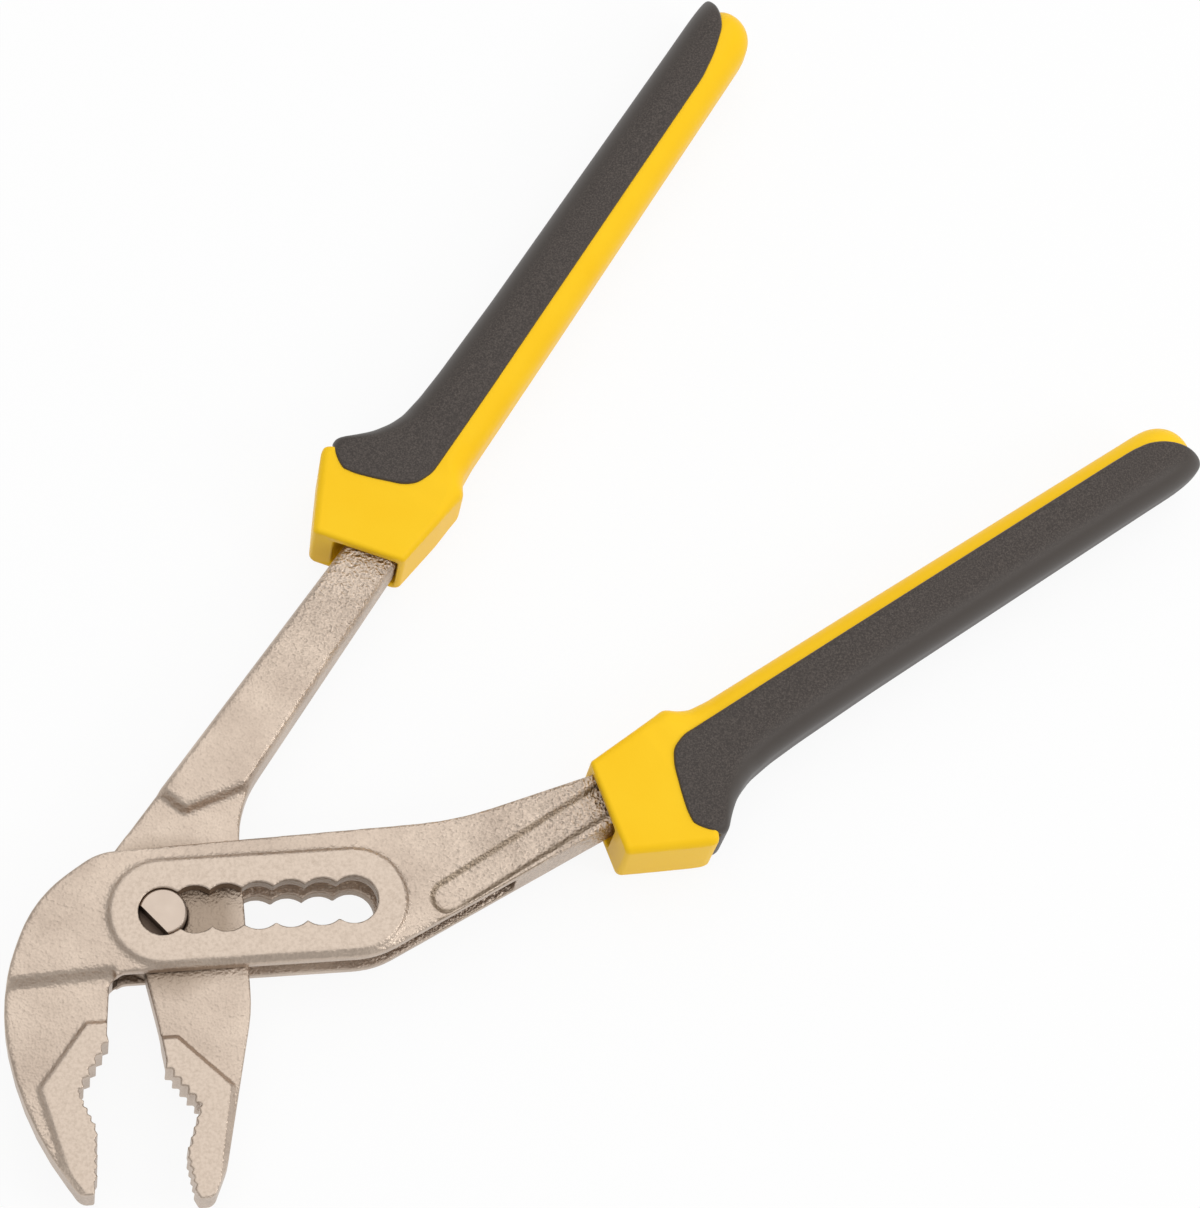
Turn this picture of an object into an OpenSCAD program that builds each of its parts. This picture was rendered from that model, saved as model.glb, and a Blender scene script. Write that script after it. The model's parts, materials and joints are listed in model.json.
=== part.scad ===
/* [Joint] */
// Diameter of the pivot pin
pin_d = 8.8; // [8.2:0.1:9.4]
// Radial play of the pin in its holes
pin_play = 0.05; // [0.02:0.01:0.1]
// Play of the flatted pin ends in the necks between two pockets
neck_play = 0.2; // [0.1:0.05:0.4]
// How far the pin ends lie below the ring faces
pin_sink = 0.1; // [0:0.05:0.4]
// Chamfer around the pin ends
pin_chamfer = 0.4; // [0.2:0.1:0.8]
// Opening of the handles at which the pin's flats lie along the slot
release_angle = 50; // [44:1:52]
// Number of pockets in the slot
slot_steps = 7; // [5:1:7]
// Distance from one pocket to the next
slot_pitch = 5.8; // [5.2:0.1:6]
// Width of the ground ring around the slot
ring_wall = 5; // [4.2:0.1:5.6]
// Height of the ring above the cheek
ring_rise = 0.95; // [0.4:0.05:1.4]
// Height of the box above the slot axis
box_top = 12.4; // [11.6:0.1:13]
// Depth of the box below the slot axis
box_bottom = 10.7; // [10.4:0.1:11.4]
// Thickness of the box over its two cheeks
box_t = 10.8; // [10:0.1:12]
// Width of the slit between the cheeks
slit_w = 6; // [5.2:0.1:6.6]
// Play of the inner lever on each side of the slit
slit_play = 0.1; // [0.05:0.01:0.2]
// Radius of the inner lever's round eye
eye_r = 14.4; // [13.6:0.1:14.8]
// Gap between the eye and the round end of the slit
eye_play = 0.8; // [0.5:0.1:1.2]
// Distance from the last pocket to the end of the slit, along the slot
slit_reach = 31.6; // [30:0.1:34]

/* [Jaws] */
// Depth of the jaw tips below the slot axis
jaw_depth = 50.8; // [49:0.1:55]
// Distance from the pin to the back of the outer jaw
head_back = 30.5; // [29:0.1:32]
// Distance from the pin to the inner face of the outer jaw
throat = 10.4; // [9.8:0.1:11]
// Thickness of the jaws over their gripping pads
jaw_t = 8.8; // [8:0.1:10]
// Height of the outer jaw's pad above its face
pad_rise = 0.9; // [0.5:0.1:1.4]
// Width of the sloped walls around pads, ring and steps
slope_w = 0.9; // [0.5:0.1:1.2]
// Length of the fine teeth, from the jaw tip to the pipe notch
bite_l = 19.2; // [17.6:0.1:21]
// Height of the coarse teeth above the pipe notch
pipe_l = 10; // [8:0.1:11]
// Depth of the pipe notch behind the tips of the teeth
notch_d = 2.4; // [1.6:0.1:3]
// Number of coarse teeth on each jaw
coarse_teeth = 5; // [3:1:7]
// Depth of the coarse teeth
coarse_depth = 1.1; // [0.6:0.1:1.4]
// Number of fine teeth in each half of the bite
fine_teeth = 5; // [3:1:7]
// Depth of the fine teeth
fine_depth = 0.6; // [0.3:0.1:0.8]

/* [Handles] */
// Direction of the outer lever's grip, from the slot axis
outer_angle = 29; // [27:0.5:31]
// Distance of the outer grip's axis from the pin
outer_offset = 27.5; // [26.5:0.1:28.5]
// Direction of the inner lever's grip, from the slot axis
inner_angle = 53; // [51:0.5:56]
// Distance of the inner grip's axis from the pin
inner_offset = 7.4; // [6.6:0.1:8.2]
// Width of the levers where they enter the grips
shank_w = 10; // [9:0.1:10.6]
// Distance of the shanks from the grips' axes where they enter them
shank_shift = 1.3; // [1:0.1:1.8]
// Thickness of the levers' shanks
shank_t = 10.2; // [9:0.1:11]
// Draft of the inner shank's long sides
draft_w = 1; // [0.4:0.1:1.4]
// Width of the tang at its end
tang_w = 6; // [4:0.1:8]
// Thickness of the tang inside the grip
tang_t = 7; // [5:0.1:8]
// Distance from the pin to the end of the tang
tang_end = 186; // [160:1:200]
// Width of the groove along the outer lever's shank
fuller_w = 6.6; // [5:0.1:7]
// Distance of that groove from the grip's axis
fuller_shift = 1.9; // [1.5:0.1:2.1]
// Depth of that groove
fuller_d = 0.9; // [0.4:0.1:1.4]
// Height of the inner lever's thick shoulder above the pin
shoulder_h = 18.9; // [18.6:0.1:21]

/* [Grips] */
// Distance from the pin to the mouth of the grip
mouth_at = 79.5; // [77.5:0.5:81.5]
// Slant of the mouth
mouth_slant = 14; // [8:1:20]
// Gap beside the inner shank in the mouth of its grip
mouth_room = 1.6; // [0.4:0.1:2]
// Distance from the pin to the finger guard
guard_at = 93.5; // [92:0.5:96]
// Height of the finger guard above the grip's axis
guard_h = 17.2; // [15:0.1:19]
// Distance from the pin to the end of the grip
grip_end = 221; // [212:1:232]
// Width of the grip behind the guard
grip_w = 14.6; // [14:0.1:16.4]
// Thickness of the collar in front of the guard
collar_t = 16.6; // [15.6:0.1:18.6]
// Thickness of the grip behind the guard
grip_t = 15.4; // [14.6:0.1:17]
// Wall of the soft cover
cover_wall = 2; // [1.2:0.1:2.4]
// Width of the hard stripe left bare along the inner edge
stripe_w = 4.6; // [3.4:0.1:6]
// Bonding gap between the soft cover and the hard sleeve
bond_gap = 0.05; // [0.02:0.01:0.1]
// Gap between the tang and the sleeve
tang_play = 0.1; // [0.05:0.01:0.3]

/* [Hidden] */
$fn = 96;
far = 400;
arc_step = 6;
edge_share = 0.98;
slice_t = 0.2;

pin_r = pin_d / 2;
pocket_r = pin_r + pin_play;
slot_l = (slot_steps - 1) * slot_pitch;
neck_half = sqrt(pocket_r * pocket_r - slot_pitch * slot_pitch / 4);
pin_flat = 2 * neck_half - neck_play - pin_r;
ring_r = pocket_r + ring_wall;
ring_t = box_t + 2 * ring_rise;
plate_t = slit_w - 2 * slit_play;
outer_face_t = jaw_t - 2 * pad_rise;
slit_r = eye_r + eye_play;
slit_slope = 0.375;
jaw_lean = 0.0945 * jaw_depth;
jaw_step_turn = 3;
tip_w = 2.6;
tip_r = 0.5;
tip_back_r = 2;
tip_land = 2.4;
pad_over = 1;
tang_r = 2.5;
draft_over = 0.3;
tip_l = 12;
shank_end = mouth_at + 5;
tang_at = mouth_at + 10;
recess_l = 6;
shank_in = -shank_shift - shank_w / 2;
shank_out = -shank_shift + shank_w / 2;

// Points of a grip's own frame, along it and outward from its axis, seen from the pin
function outer_xy(along, out) =
    [along * cos(outer_angle) + (out + outer_offset) * sin(outer_angle),
     along * sin(outer_angle) - (out + outer_offset) * cos(outer_angle)];
function inner_xy(along, out) =
    [along * cos(inner_angle) - (out + inner_offset) * sin(inner_angle),
     along * sin(inner_angle) + (out + inner_offset) * cos(inner_angle)];

// A corner [x, y, radius] becomes an arc that is tangent to both of its edges
function unit(v) = v / norm(v);
function flat2(p) = [p.x, p.y];
function half_angle(a, b, c) = acos(unit(flat2(a) - flat2(b)) * unit(flat2(c) - flat2(b))) / 2;
function bend(a, b, c, r) =
    let (
        u = unit(flat2(a) - flat2(b)),
        v = unit(flat2(c) - flat2(b)),
        half = half_angle(a, b, c),
        centre = flat2(b) + unit(u + v) * r / sin(half),
        side = sign(u.x * v.y - u.y * v.x),
        from = flat2(b) + u * r / tan(half) - centre,
        steps = ceil((180 - 2 * half) / arc_step)
    )
    [for (i = [0:steps])
        let (turn = -side * (180 - 2 * half) * i / steps)
        centre + [from.x * cos(turn) - from.y * sin(turn), from.x * sin(turn) + from.y * cos(turn)]];
// Share of the radii at both ends of edge i that fits on that edge
function fit(corners, i) =
    let (
        n = len(corners),
        a = corners[(i + n - 1) % n],
        b = corners[i],
        c = corners[(i + 1) % n],
        d = corners[(i + 2) % n],
        taken = b.z / tan(half_angle(a, b, c)) + c.z / tan(half_angle(b, c, d))
    )
    taken == 0 ? 1 : min(1, edge_share * norm(flat2(c) - flat2(b)) / taken);
function rounded(corners) =
    let (n = len(corners))
    [for (i = [0:n - 1])
        let (before = (i + n - 1) % n, r = corners[i].z * min(fit(corners, before), fit(corners, i)))
        each r == 0 ? [flat2(corners[i])]
            : bend(corners[before], corners[i], corners[(i + 1) % n], r)];

// Teeth from p to q, standing out to the right of that way
function teeth(p, q, count, depth) =
    let (way = unit(q - p), out = [way.y, -way.x])
    [for (i = [0:count - 1])
        each [
            concat(p + (q - p) * i / count, 0),
            concat(p + (q - p) * (i + 0.5) / count + out * depth, 0)
        ]];

// Outer lever: box and shank along the top, then round the head and down to the jaw tip
outer_tip = [-throat - jaw_lean, -jaw_depth];
outer_notch = outer_tip + [-notch_d, bite_l];
outer_mid = outer_tip + [0.25 * notch_d, 0.62 * bite_l];
outer_pipe = [-throat - 0.1 * pipe_l, outer_notch.y + pipe_l];
top_knee = [slot_l + 1.613 * box_top, 1.153 * box_top, 4.84 * box_top];
crown = [-0.364 * head_back, 0.992 * box_top, 0.36 * head_back];
brow = [-0.76 * head_back, 0.355 * box_top, 0.787 * head_back];
nape = [-head_back, -0.2657 * jaw_depth, 0.685 * jaw_depth];
jaw_back = [-0.892 * head_back, -0.7185 * jaw_depth, 1.175 * jaw_depth];
throat_low = [-throat, -1.15 * box_bottom, 1.2 * tip_r];
throat_high = [-0.76 * throat, -box_bottom, 1.6 * tip_r];
low_knee = [slot_l + 0.336 * box_bottom, -box_bottom, 1.5 * box_bottom];
outer_corners = concat(
    [
        concat(outer_xy(tang_end, -tang_w / 2), tang_r),
        concat(outer_xy(shank_end, shank_in), 0),
        top_knee,
        crown,
        brow,
        nape,
        jaw_back,
        [outer_tip.x - tip_w, outer_tip.y, tip_back_r],
        concat(outer_tip, tip_r)
    ],
    teeth(outer_tip + [0, tip_land], outer_mid, fine_teeth, fine_depth),
    teeth(outer_mid, outer_notch, fine_teeth, fine_depth),
    teeth(outer_notch, outer_pipe, coarse_teeth, coarse_depth),
    [
        concat(outer_pipe, 0),
        throat_low,
        throat_high,
        low_knee,
        concat(outer_xy(shank_end, shank_out - 0.04 * shank_w), 0),
        concat(outer_xy(tang_end, tang_w / 2), tang_r)
    ]
);
outer_outline = rounded(outer_corners);
outer_pad = [
    [0, outer_pipe.y + 0.26 * pipe_l],
    [outer_tip.x, outer_pipe.y + 0.28 * pipe_l],
    [-0.8 * head_back, outer_notch.y + 0.11 * pipe_l],
    [-0.793 * head_back, outer_notch.y - 0.07 * pipe_l],
    [-0.669 * head_back, -0.921 * jaw_depth],
    outer_tip - [0.77 * tip_w, pad_over],
    [0, outer_tip.y - pad_over]
];

// Inner lever: the left edge of the shank is tangent to the eye, and the jaw mirrors the other one
inner_tip = [0.065 * jaw_depth, -1.0394 * jaw_depth];
inner_notch = inner_tip + [0.708 * notch_d, 0.896 * bite_l];
inner_mid = inner_tip + [-0.583 * notch_d, 0.43 * bite_l];
inner_pipe = [-0.11 * pipe_l, inner_notch.y + 0.83 * pipe_l];
inner_root = [-0.278 * eye_r, -0.907 * box_bottom];
inner_face = [-0.132 * eye_r, -1.991 * box_bottom];
inner_cheek = inner_tip + [0.1043, 0.1142] * jaw_depth;
inner_heel = [1.0417 * eye_r, -1.72 * box_bottom, 2.083 * eye_r];
inner_waist = [1.035 * eye_r, 1.085 * shoulder_h];
eye_tangent = eye_r * [cos(inner_angle + 87), sin(inner_angle + 87)];
inner_corners = concat(
    [
        concat(inner_xy(tang_end, tang_w / 2), tang_r),
        concat(inner_xy(shank_end, shank_out), 0),
        concat(eye_tangent, 0),
        concat(inner_root, 0),
        concat(inner_face, 0.75 * box_bottom)
    ],
    teeth(inner_pipe, inner_notch, coarse_teeth, coarse_depth),
    teeth(inner_notch, inner_mid, fine_teeth, fine_depth),
    teeth(inner_mid, inner_tip + [-0.4 * tip_r, 0.5 * tip_land], fine_teeth, fine_depth),
    [
        concat(inner_tip, tip_r),
        concat(inner_tip + [tip_w, 0], tip_back_r),
        concat(inner_cheek, 0.1575 * jaw_depth),
        inner_heel,
        concat(inner_waist, 1.736 * eye_r),
        concat(inner_xy(shank_end, shank_in), 0),
        concat(inner_xy(tang_end, -tang_w / 2), tang_r)
    ]
);
inner_outline = rounded(inner_corners);
inner_edge = inner_xy(shank_end, shank_out) - eye_tangent;
swing = atan2(inner_edge.y, inner_edge.x) + release_angle;
inner_pad = [
    [0.14 * pipe_l, inner_face.y - 0.11 * pipe_l],
    [-far / 10, inner_face.y - 0.11 * pipe_l],
    [-far / 10, inner_tip.y - pad_over],
    inner_tip + [1.54 * tip_w, -pad_over],
    [0.778 * eye_r, inner_notch.y + 0.32 * pipe_l]
];
shoulder_tip = [0.361 * eye_r, shoulder_h];
shoulder_left = -42.6;
shoulder_right = 19;

// Grip: sections along its axis, [along, inner edge, outer edge, thickness, corner radius]
sections = [
    [mouth_at - 6, -0.52 * grip_w, 0.436 * guard_h, 0.94 * collar_t, 0.145 * collar_t],
    [guard_at - 1, -0.61 * grip_w, guard_h, collar_t, 0.157 * collar_t],
    [guard_at + 2, -0.65 * grip_w, guard_h, collar_t, 0.157 * collar_t],
    [guard_at + 5, -0.685 * grip_w, 0.849 * guard_h, collar_t, 0.18 * collar_t],
    [guard_at + 7.5, -0.616 * grip_w, 0.698 * guard_h, grip_t, 0.234 * grip_t],
    [guard_at + 10, -0.493 * grip_w, 0.57 * guard_h, grip_t, 0.286 * grip_t],
    [guard_at + 15, -0.5 * grip_w, 0.52 * grip_w, grip_t, 0.364 * grip_t],
    [guard_at + 45, -0.486 * grip_w, 0.486 * grip_w, grip_t, 0.39 * grip_t],
    [grip_end - tip_l, -0.438 * grip_w, 0.452 * grip_w, 0.935 * grip_t, 0.39 * grip_t],
    [grip_end - 6, -0.377 * grip_w, 0.445 * grip_w, 0.857 * grip_t, 0.364 * grip_t],
    [grip_end - 2, -0.233 * grip_w, 0.404 * grip_w, 0.65 * grip_t, 0.26 * grip_t],
    [grip_end - slice_t, -0.041 * grip_w, 0.315 * grip_w, 0.39 * grip_t, 0.156 * grip_t]
];
stripe_edge = -grip_w / 2 + stripe_w;
cover_corners = [
    [guard_at + 1.6, far / 10, 0],
    [guard_at + 0.6, guard_h - 1.6, 1],
    [guard_at - 3.2, guard_h - 3.6, 3],
    [guard_at - 1.9, guard_h - 8.6, 6],
    [guard_at + 3.2, stripe_edge, 5],
    [grip_end - tip_l, stripe_edge + 0.4, 10],
    [grip_end - 3, stripe_edge + 5, 6],
    [grip_end + 9, stripe_edge + 6.2, 0],
    [grip_end + 9, far / 10, 0]
];

// The model stands on the lowest points of its grips, centred over its own extents
function span(points, axis) = let (v = [for (p = points) p[axis]]) [min(v), max(v)];
grip_edge = [for (s = sections, x = [s[0], s[0] + slice_t], y = [s[1], s[2]]) [x, y]];
plan = concat(outer_outline, inner_outline,
    [for (p = grip_edge) outer_xy(p.x, p.y)],
    [for (p = grip_edge) inner_xy(p.x, p.y)]);
centre = [(span(plan, 0)[0] + span(plan, 0)[1]) / 2, (span(plan, 1)[0] + span(plan, 1)[1]) / 2];
lift = max(collar_t, grip_t) / 2;

module placed() {
    translate([-centre.x, -centre.y, lift])
        children();
}

// Straight step along a line through p: low on the line, high past a sloped wall to its left
module step(p, angle, low, high, run) {
    translate([p.x, p.y, 0])
        rotate(angle)
            rotate([90, 0, 90])
                linear_extrude(far, center = true)
                    polygon([
                        [0, -low / 2], [0, low / 2], [run, high / 2],
                        [far, high / 2], [far, -high / 2], [run, -high / 2]
                    ]);
}

// Raised pad on both sides of a jaw, with a sloped wall along each edge of a convex outline
module pad(points, low, high) {
    n = len(points);
    intersection_for (i = [0:n - 1]) {
        way = points[(i + 1) % n] - points[i];
        step(points[i], atan2(way.y, way.x), low, high, slope_w);
    }
}

// Forging draft of a long side, from p to q with the metal on its right; it meets the plate outside
module side_draft(p, q) {
    way = q - p;
    out = unit([-way.y, way.x]);
    step(q + draft_over * draft_w * out, atan2(-way.y, -way.x), plate_t, shank_t, draft_w);
}

module slab(outline, thickness) {
    linear_extrude(thickness, center = true)
        polygon(outline);
}

module outer_frame() {
    rotate(outer_angle)
        mirror([0, 1, 0])
            translate([0, outer_offset, 0])
                children();
}

module inner_frame() {
    rotate(inner_angle)
        translate([0, inner_offset, 0])
            children();
}

// Material above and below the tang, from its shoulder inside the grip to its end
module tang_relief() {
    for (side = [0, 1])
        mirror([0, 0, side])
            translate([tang_at, -far / 20, tang_t / 2])
                cube([far / 2, far / 10, far / 20]);
}

// Stadium around the slot, with sloped walls down to the cheek
module ring() {
    for (side = [0, 1])
        mirror([0, 0, side])
            translate([0, 0, box_t / 2]) {
                for (x = [0, slot_l])
                    translate([x, 0, 0])
                        cylinder(h = ring_rise, r1 = ring_r + slope_w, r2 = ring_r);
                rotate([90, 0, 90])
                    linear_extrude(slot_l)
                        polygon([
                            [-ring_r - slope_w, 0], [ring_r + slope_w, 0],
                            [ring_r, ring_rise], [-ring_r, ring_rise]
                        ]);
            }
}

// Pockets overlap, so that the necks between them keep a round pin from sliding
module slot() {
    for (i = [0:slot_steps - 1])
        translate([i * slot_pitch, 0, 0])
            cylinder(r = pocket_r, h = far / 4, center = true);
}

// Open along both edges of the box, round about the first pocket, straight across the handle,
// and cut back at the top as far as the inner shank swings
module slit() {
    cylinder(r = slit_r, h = slit_w, center = true);
    rotate(swing)
        translate([0, -slit_r, -slit_w / 2])
            cube([far / 10, 2 * slit_r, slit_w]);
    slab([
        [0, -far / 10],
        [slot_l + slit_reach + slit_slope * far / 10, -far / 10],
        [slot_l + slit_reach - slit_slope * far / 10, far / 10],
        [0, far / 10]
    ], slit_w);
}

// Groove with a round end and sloped walls, on both faces of the shank
module fuller() {
    start = slot_l + 1.606 * fuller_w;
    for (side = [0, 1])
        mirror([0, 0, side])
            translate([start, -fuller_shift, box_t / 2 - fuller_d]) {
                cylinder(h = 2 * fuller_d, r1 = fuller_w / 2 - slope_w, r2 = fuller_w / 2 + slope_w);
                rotate([90, 0, 90])
                    linear_extrude(tang_at - 2 - start)
                        polygon([
                            [-fuller_w / 2 + slope_w, 0], [fuller_w / 2 - slope_w, 0],
                            [fuller_w / 2 + slope_w, 2 * fuller_d], [-fuller_w / 2 - slope_w, 2 * fuller_d]
                        ]);
            }
}

// Faces of the outer jaw, set back from the cheeks below a sloped step
module jaw_relief() {
    for (side = [0, 1])
        mirror([0, 0, side])
            translate([-0.904 * throat, -0.869 * box_bottom, 0])
                rotate(180 + jaw_step_turn)
                    rotate([90, 0, 90])
                        linear_extrude(far / 8)
                            polygon([
                                [0, box_t / 2], [2 * slope_w, outer_face_t / 2],
                                [far / 4, outer_face_t / 2], [far / 4, far / 20], [0, far / 20]
                            ]);
}

module outer_lever() {
    color([0.85, 0.78, 0.7])
        placed()
            difference() {
                union() {
                    difference() {
                        slab(outer_outline, box_t);
                        jaw_relief();
                    }
                    intersection() {
                        slab(outer_outline, jaw_t);
                        pad(outer_pad, outer_face_t, jaw_t);
                    }
                    ring();
                }
                slit();
                slot();
                outer_frame() {
                    fuller();
                    tang_relief();
                }
            }
}

// Round eye of the inner lever, cut off in front of the root of its jaw
module eye() {
    cut_y = inner_root.y + 0.306 * eye_r;
    difference() {
        cylinder(r = eye_r, h = plate_t, center = true);
        slab([
            [-eye_r, cut_y], [-2 * eye_r, cut_y], [-2 * eye_r, -2 * eye_r],
            [0, -2 * eye_r], [0, -1.12 * box_bottom]
        ], far / 4);
    }
}

module inner_lever() {
    color([0.85, 0.78, 0.7])
        placed()
            difference() {
                union() {
                    slab(inner_outline, plate_t);
                    eye();
                    intersection() {
                        slab(inner_outline, shank_t);
                        step(shoulder_tip, shoulder_left, plate_t, shank_t, 1.4 * slope_w);
                        step(shoulder_tip, shoulder_right, plate_t, shank_t, 1.4 * slope_w);
                        side_draft(eye_tangent, inner_xy(shank_end, shank_out));
                        side_draft(inner_xy(shank_end, shank_in), inner_waist);
                    }
                    intersection() {
                        slab(inner_outline, jaw_t);
                        pad(inner_pad, plate_t, jaw_t);
                    }
                }
                cylinder(r = pocket_r, h = far / 4, center = true);
                inner_frame()
                    tang_relief();
            }
}

module pivot_pin() {
    half = ring_t / 2 - pin_sink;
    color([0.8, 0.75, 0.68])
        placed()
            difference() {
                rotate_extrude()
                    polygon([
                        [0, -half], [pin_r - pin_chamfer, -half], [pin_r, pin_chamfer - half],
                        [pin_r, half - pin_chamfer], [pin_r - pin_chamfer, half], [0, half]
                    ]);
                for (side = [0, 1])
                    mirror([0, 0, side])
                        rotate(-90 - release_angle)
                            translate([pin_flat, -pin_d, plate_t / 2])
                                cube([pin_d, 2 * pin_d, ring_t]);
            }
}

// Thin slice of a grip: a rectangle with round corners, drawn in by inset on every side and at the tip
module slice(s, inset) {
    back = inset * max(0, 1 - (grip_end - s[0]) / tip_l);
    low = s[1] + inset;
    high = s[2] - inset;
    half = s[3] / 2 - inset;
    r = s[4] - inset / 2;
    translate([s[0] - back, 0, 0])
        rotate([90, 0, 90])
            linear_extrude(slice_t)
                polygon(rounded([[low, -half, r], [high, -half, r], [high, half, r], [low, half, r]]));
}

module grip_body(inset) {
    for (i = [0:len(sections) - 2])
        hull() {
            slice(sections[i], inset);
            slice(sections[i + 1], inset);
        }
}

// Plan of the soft cover, drawn in by inset
module cover_area(inset) {
    linear_extrude(far / 4, center = true)
        offset(delta = -inset)
            polygon(rounded(cover_corners));
}

module sleeve() {
    difference() {
        union() {
            difference() {
                grip_body(0);
                cover_area(0);
            }
            intersection() {
                grip_body(cover_wall);
                cover_area(-1);
            }
        }
        translate([mouth_at, 0, 0])
            rotate(mouth_slant)
                translate([-far / 2, -far / 2, -far / 2])
                    cube([far / 2, far, far]);
    }
}

module cover() {
    difference() {
        intersection() {
            grip_body(0);
            cover_area(bond_gap);
        }
        grip_body(cover_wall - bond_gap);
    }
}

// Room for a shank of that thickness at the mouth, and for the thinner tang behind it
module socket(outline, thickness) {
    difference() {
        linear_extrude(thickness + 2 * tang_play, center = true)
            offset(delta = tang_play)
                polygon(outline);
        children();
    }
    linear_extrude(tang_t + 2 * tang_play, center = true)
        offset(delta = tang_play)
            polygon(outline);
}

module shank_limit() {
    translate([tang_at + tang_play, -far / 20, -far / 20])
        cube([far, far / 10, far / 10]);
}

// Wider part of the inner sleeve's mouth, beside the outer edge of the shank
module mouth_recess() {
    translate([mouth_at - recess_l, shank_out - 1, -shank_t / 2 - tang_play])
        cube([2 * recess_l, 1 + mouth_room, shank_t + 2 * tang_play]);
}

module outer_grip_sleeve() {
    color([1, 0.81, 0.15])
        placed()
            difference() {
                outer_frame()
                    sleeve();
                socket(outer_outline, box_t)
                    outer_frame()
                        shank_limit();
            }
}

module outer_grip_cover() {
    color([0.29, 0.26, 0.24])
        placed()
            outer_frame()
                cover();
}

module inner_grip_sleeve() {
    color([1, 0.81, 0.15])
        placed()
            difference() {
                inner_frame()
                    sleeve();
                socket(inner_outline, shank_t)
                    inner_frame()
                        shank_limit();
                inner_frame()
                    mouth_recess();
            }
}

module inner_grip_cover() {
    color([0.29, 0.26, 0.24])
        placed()
            inner_frame()
                cover();
}

outer_lever();
inner_lever();
pivot_pin();
outer_grip_sleeve();
outer_grip_cover();
inner_grip_sleeve();
inner_grip_cover();
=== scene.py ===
import json
import bmesh
import bpy
import numpy as np
from mathutils import Matrix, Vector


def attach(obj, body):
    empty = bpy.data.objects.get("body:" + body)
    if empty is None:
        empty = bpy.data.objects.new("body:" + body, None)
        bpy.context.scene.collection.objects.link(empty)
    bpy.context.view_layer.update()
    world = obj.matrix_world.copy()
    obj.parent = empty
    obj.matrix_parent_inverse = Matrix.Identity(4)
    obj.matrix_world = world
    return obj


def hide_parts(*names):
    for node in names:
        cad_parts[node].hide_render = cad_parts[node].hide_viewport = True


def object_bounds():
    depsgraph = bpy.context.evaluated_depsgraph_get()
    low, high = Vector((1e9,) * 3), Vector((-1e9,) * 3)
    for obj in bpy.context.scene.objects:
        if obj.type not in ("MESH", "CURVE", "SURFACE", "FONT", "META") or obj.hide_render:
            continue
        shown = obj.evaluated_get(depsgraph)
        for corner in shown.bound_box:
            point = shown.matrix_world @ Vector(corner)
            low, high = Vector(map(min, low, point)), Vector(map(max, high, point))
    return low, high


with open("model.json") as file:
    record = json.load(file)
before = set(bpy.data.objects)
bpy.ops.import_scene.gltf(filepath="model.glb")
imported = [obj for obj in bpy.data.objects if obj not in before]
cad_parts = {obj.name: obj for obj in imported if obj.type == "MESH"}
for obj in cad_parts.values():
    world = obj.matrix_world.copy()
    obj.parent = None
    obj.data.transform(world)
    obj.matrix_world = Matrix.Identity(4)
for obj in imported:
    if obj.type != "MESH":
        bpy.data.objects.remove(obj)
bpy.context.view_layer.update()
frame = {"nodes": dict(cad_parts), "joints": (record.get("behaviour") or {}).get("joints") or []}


# Outer and inner lever
# Each is one drop forging from jaw to tang, deburred, sand blasted and plated with satin nickel of a
# warm champagne tone; the ring round the slot and the jaw pads are ground flat after forging.
hinge = next(joint for joint in frame["joints"] if joint["name"] == "handle_hinge")
pin_axis = 1000 * np.array(hinge["pos_m"])   # mm, in the part's frame; the sizes below start at the pin
net_size = 0.22                              # mm, squares of the forging's surface
rounding_steps = 30
lever_triangles = 170000
same_place = 1e-6                            # m, corners nearer than this are one
tooth_soft, slot_soft, slit_soft, ground_soft = 0.05, 0.1, 0.25, 0.3
ring_low, ring_high = 6.0, 6.3               # mm from the middle plane: the ring's face lies between
pad_face, pad_play = 4.4, 0.2
jaw_root = -20.0
slot_middle, slot_reach, slot_half = 17.4, 22.2, 4.6
groove_angle, groove_axis, groove_half, groove_start = 29.0, -25.6, 4.0, 41.3
# mm: faces within the first height of the middle plane get painted shade round the pin, none outside the
# second radius and full inside the third
plate_half, shade_outer_radius, shade_inner_radius = 3.3, 16.5, 11.5
grain_near, grain_far = 40.0, 80.0           # mm from the pin, between which the grain gets coarser


def merge(source, target):
    """Puts the source's faces into the target mesh, with corners at the same place joined."""
    shape = bmesh.new()
    shape.from_mesh(source)
    bmesh.ops.remove_doubles(shape, verts=shape.verts, dist=same_place)
    shape.to_mesh(target)
    shape.free()


def shade_smooth(mesh):
    """Marks every face as a part of a curved surface."""
    mesh.polygons.foreach_set("use_smooth", np.ones(len(mesh.polygons), bool))


def in_scene(name, data):
    """A new object of the scene, at the origin, that holds that mesh, lamp or camera."""
    piece = bpy.data.objects.new(name, data)
    bpy.context.scene.collection.objects.link(piece)
    return piece


def merged_copy(node, name):
    """Copy of a node's mesh with its loose triangles joined at their corners."""
    mesh = bpy.data.meshes.new(name)
    merge(frame["nodes"][node].data, mesh)
    return in_scene(name, mesh)


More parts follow.
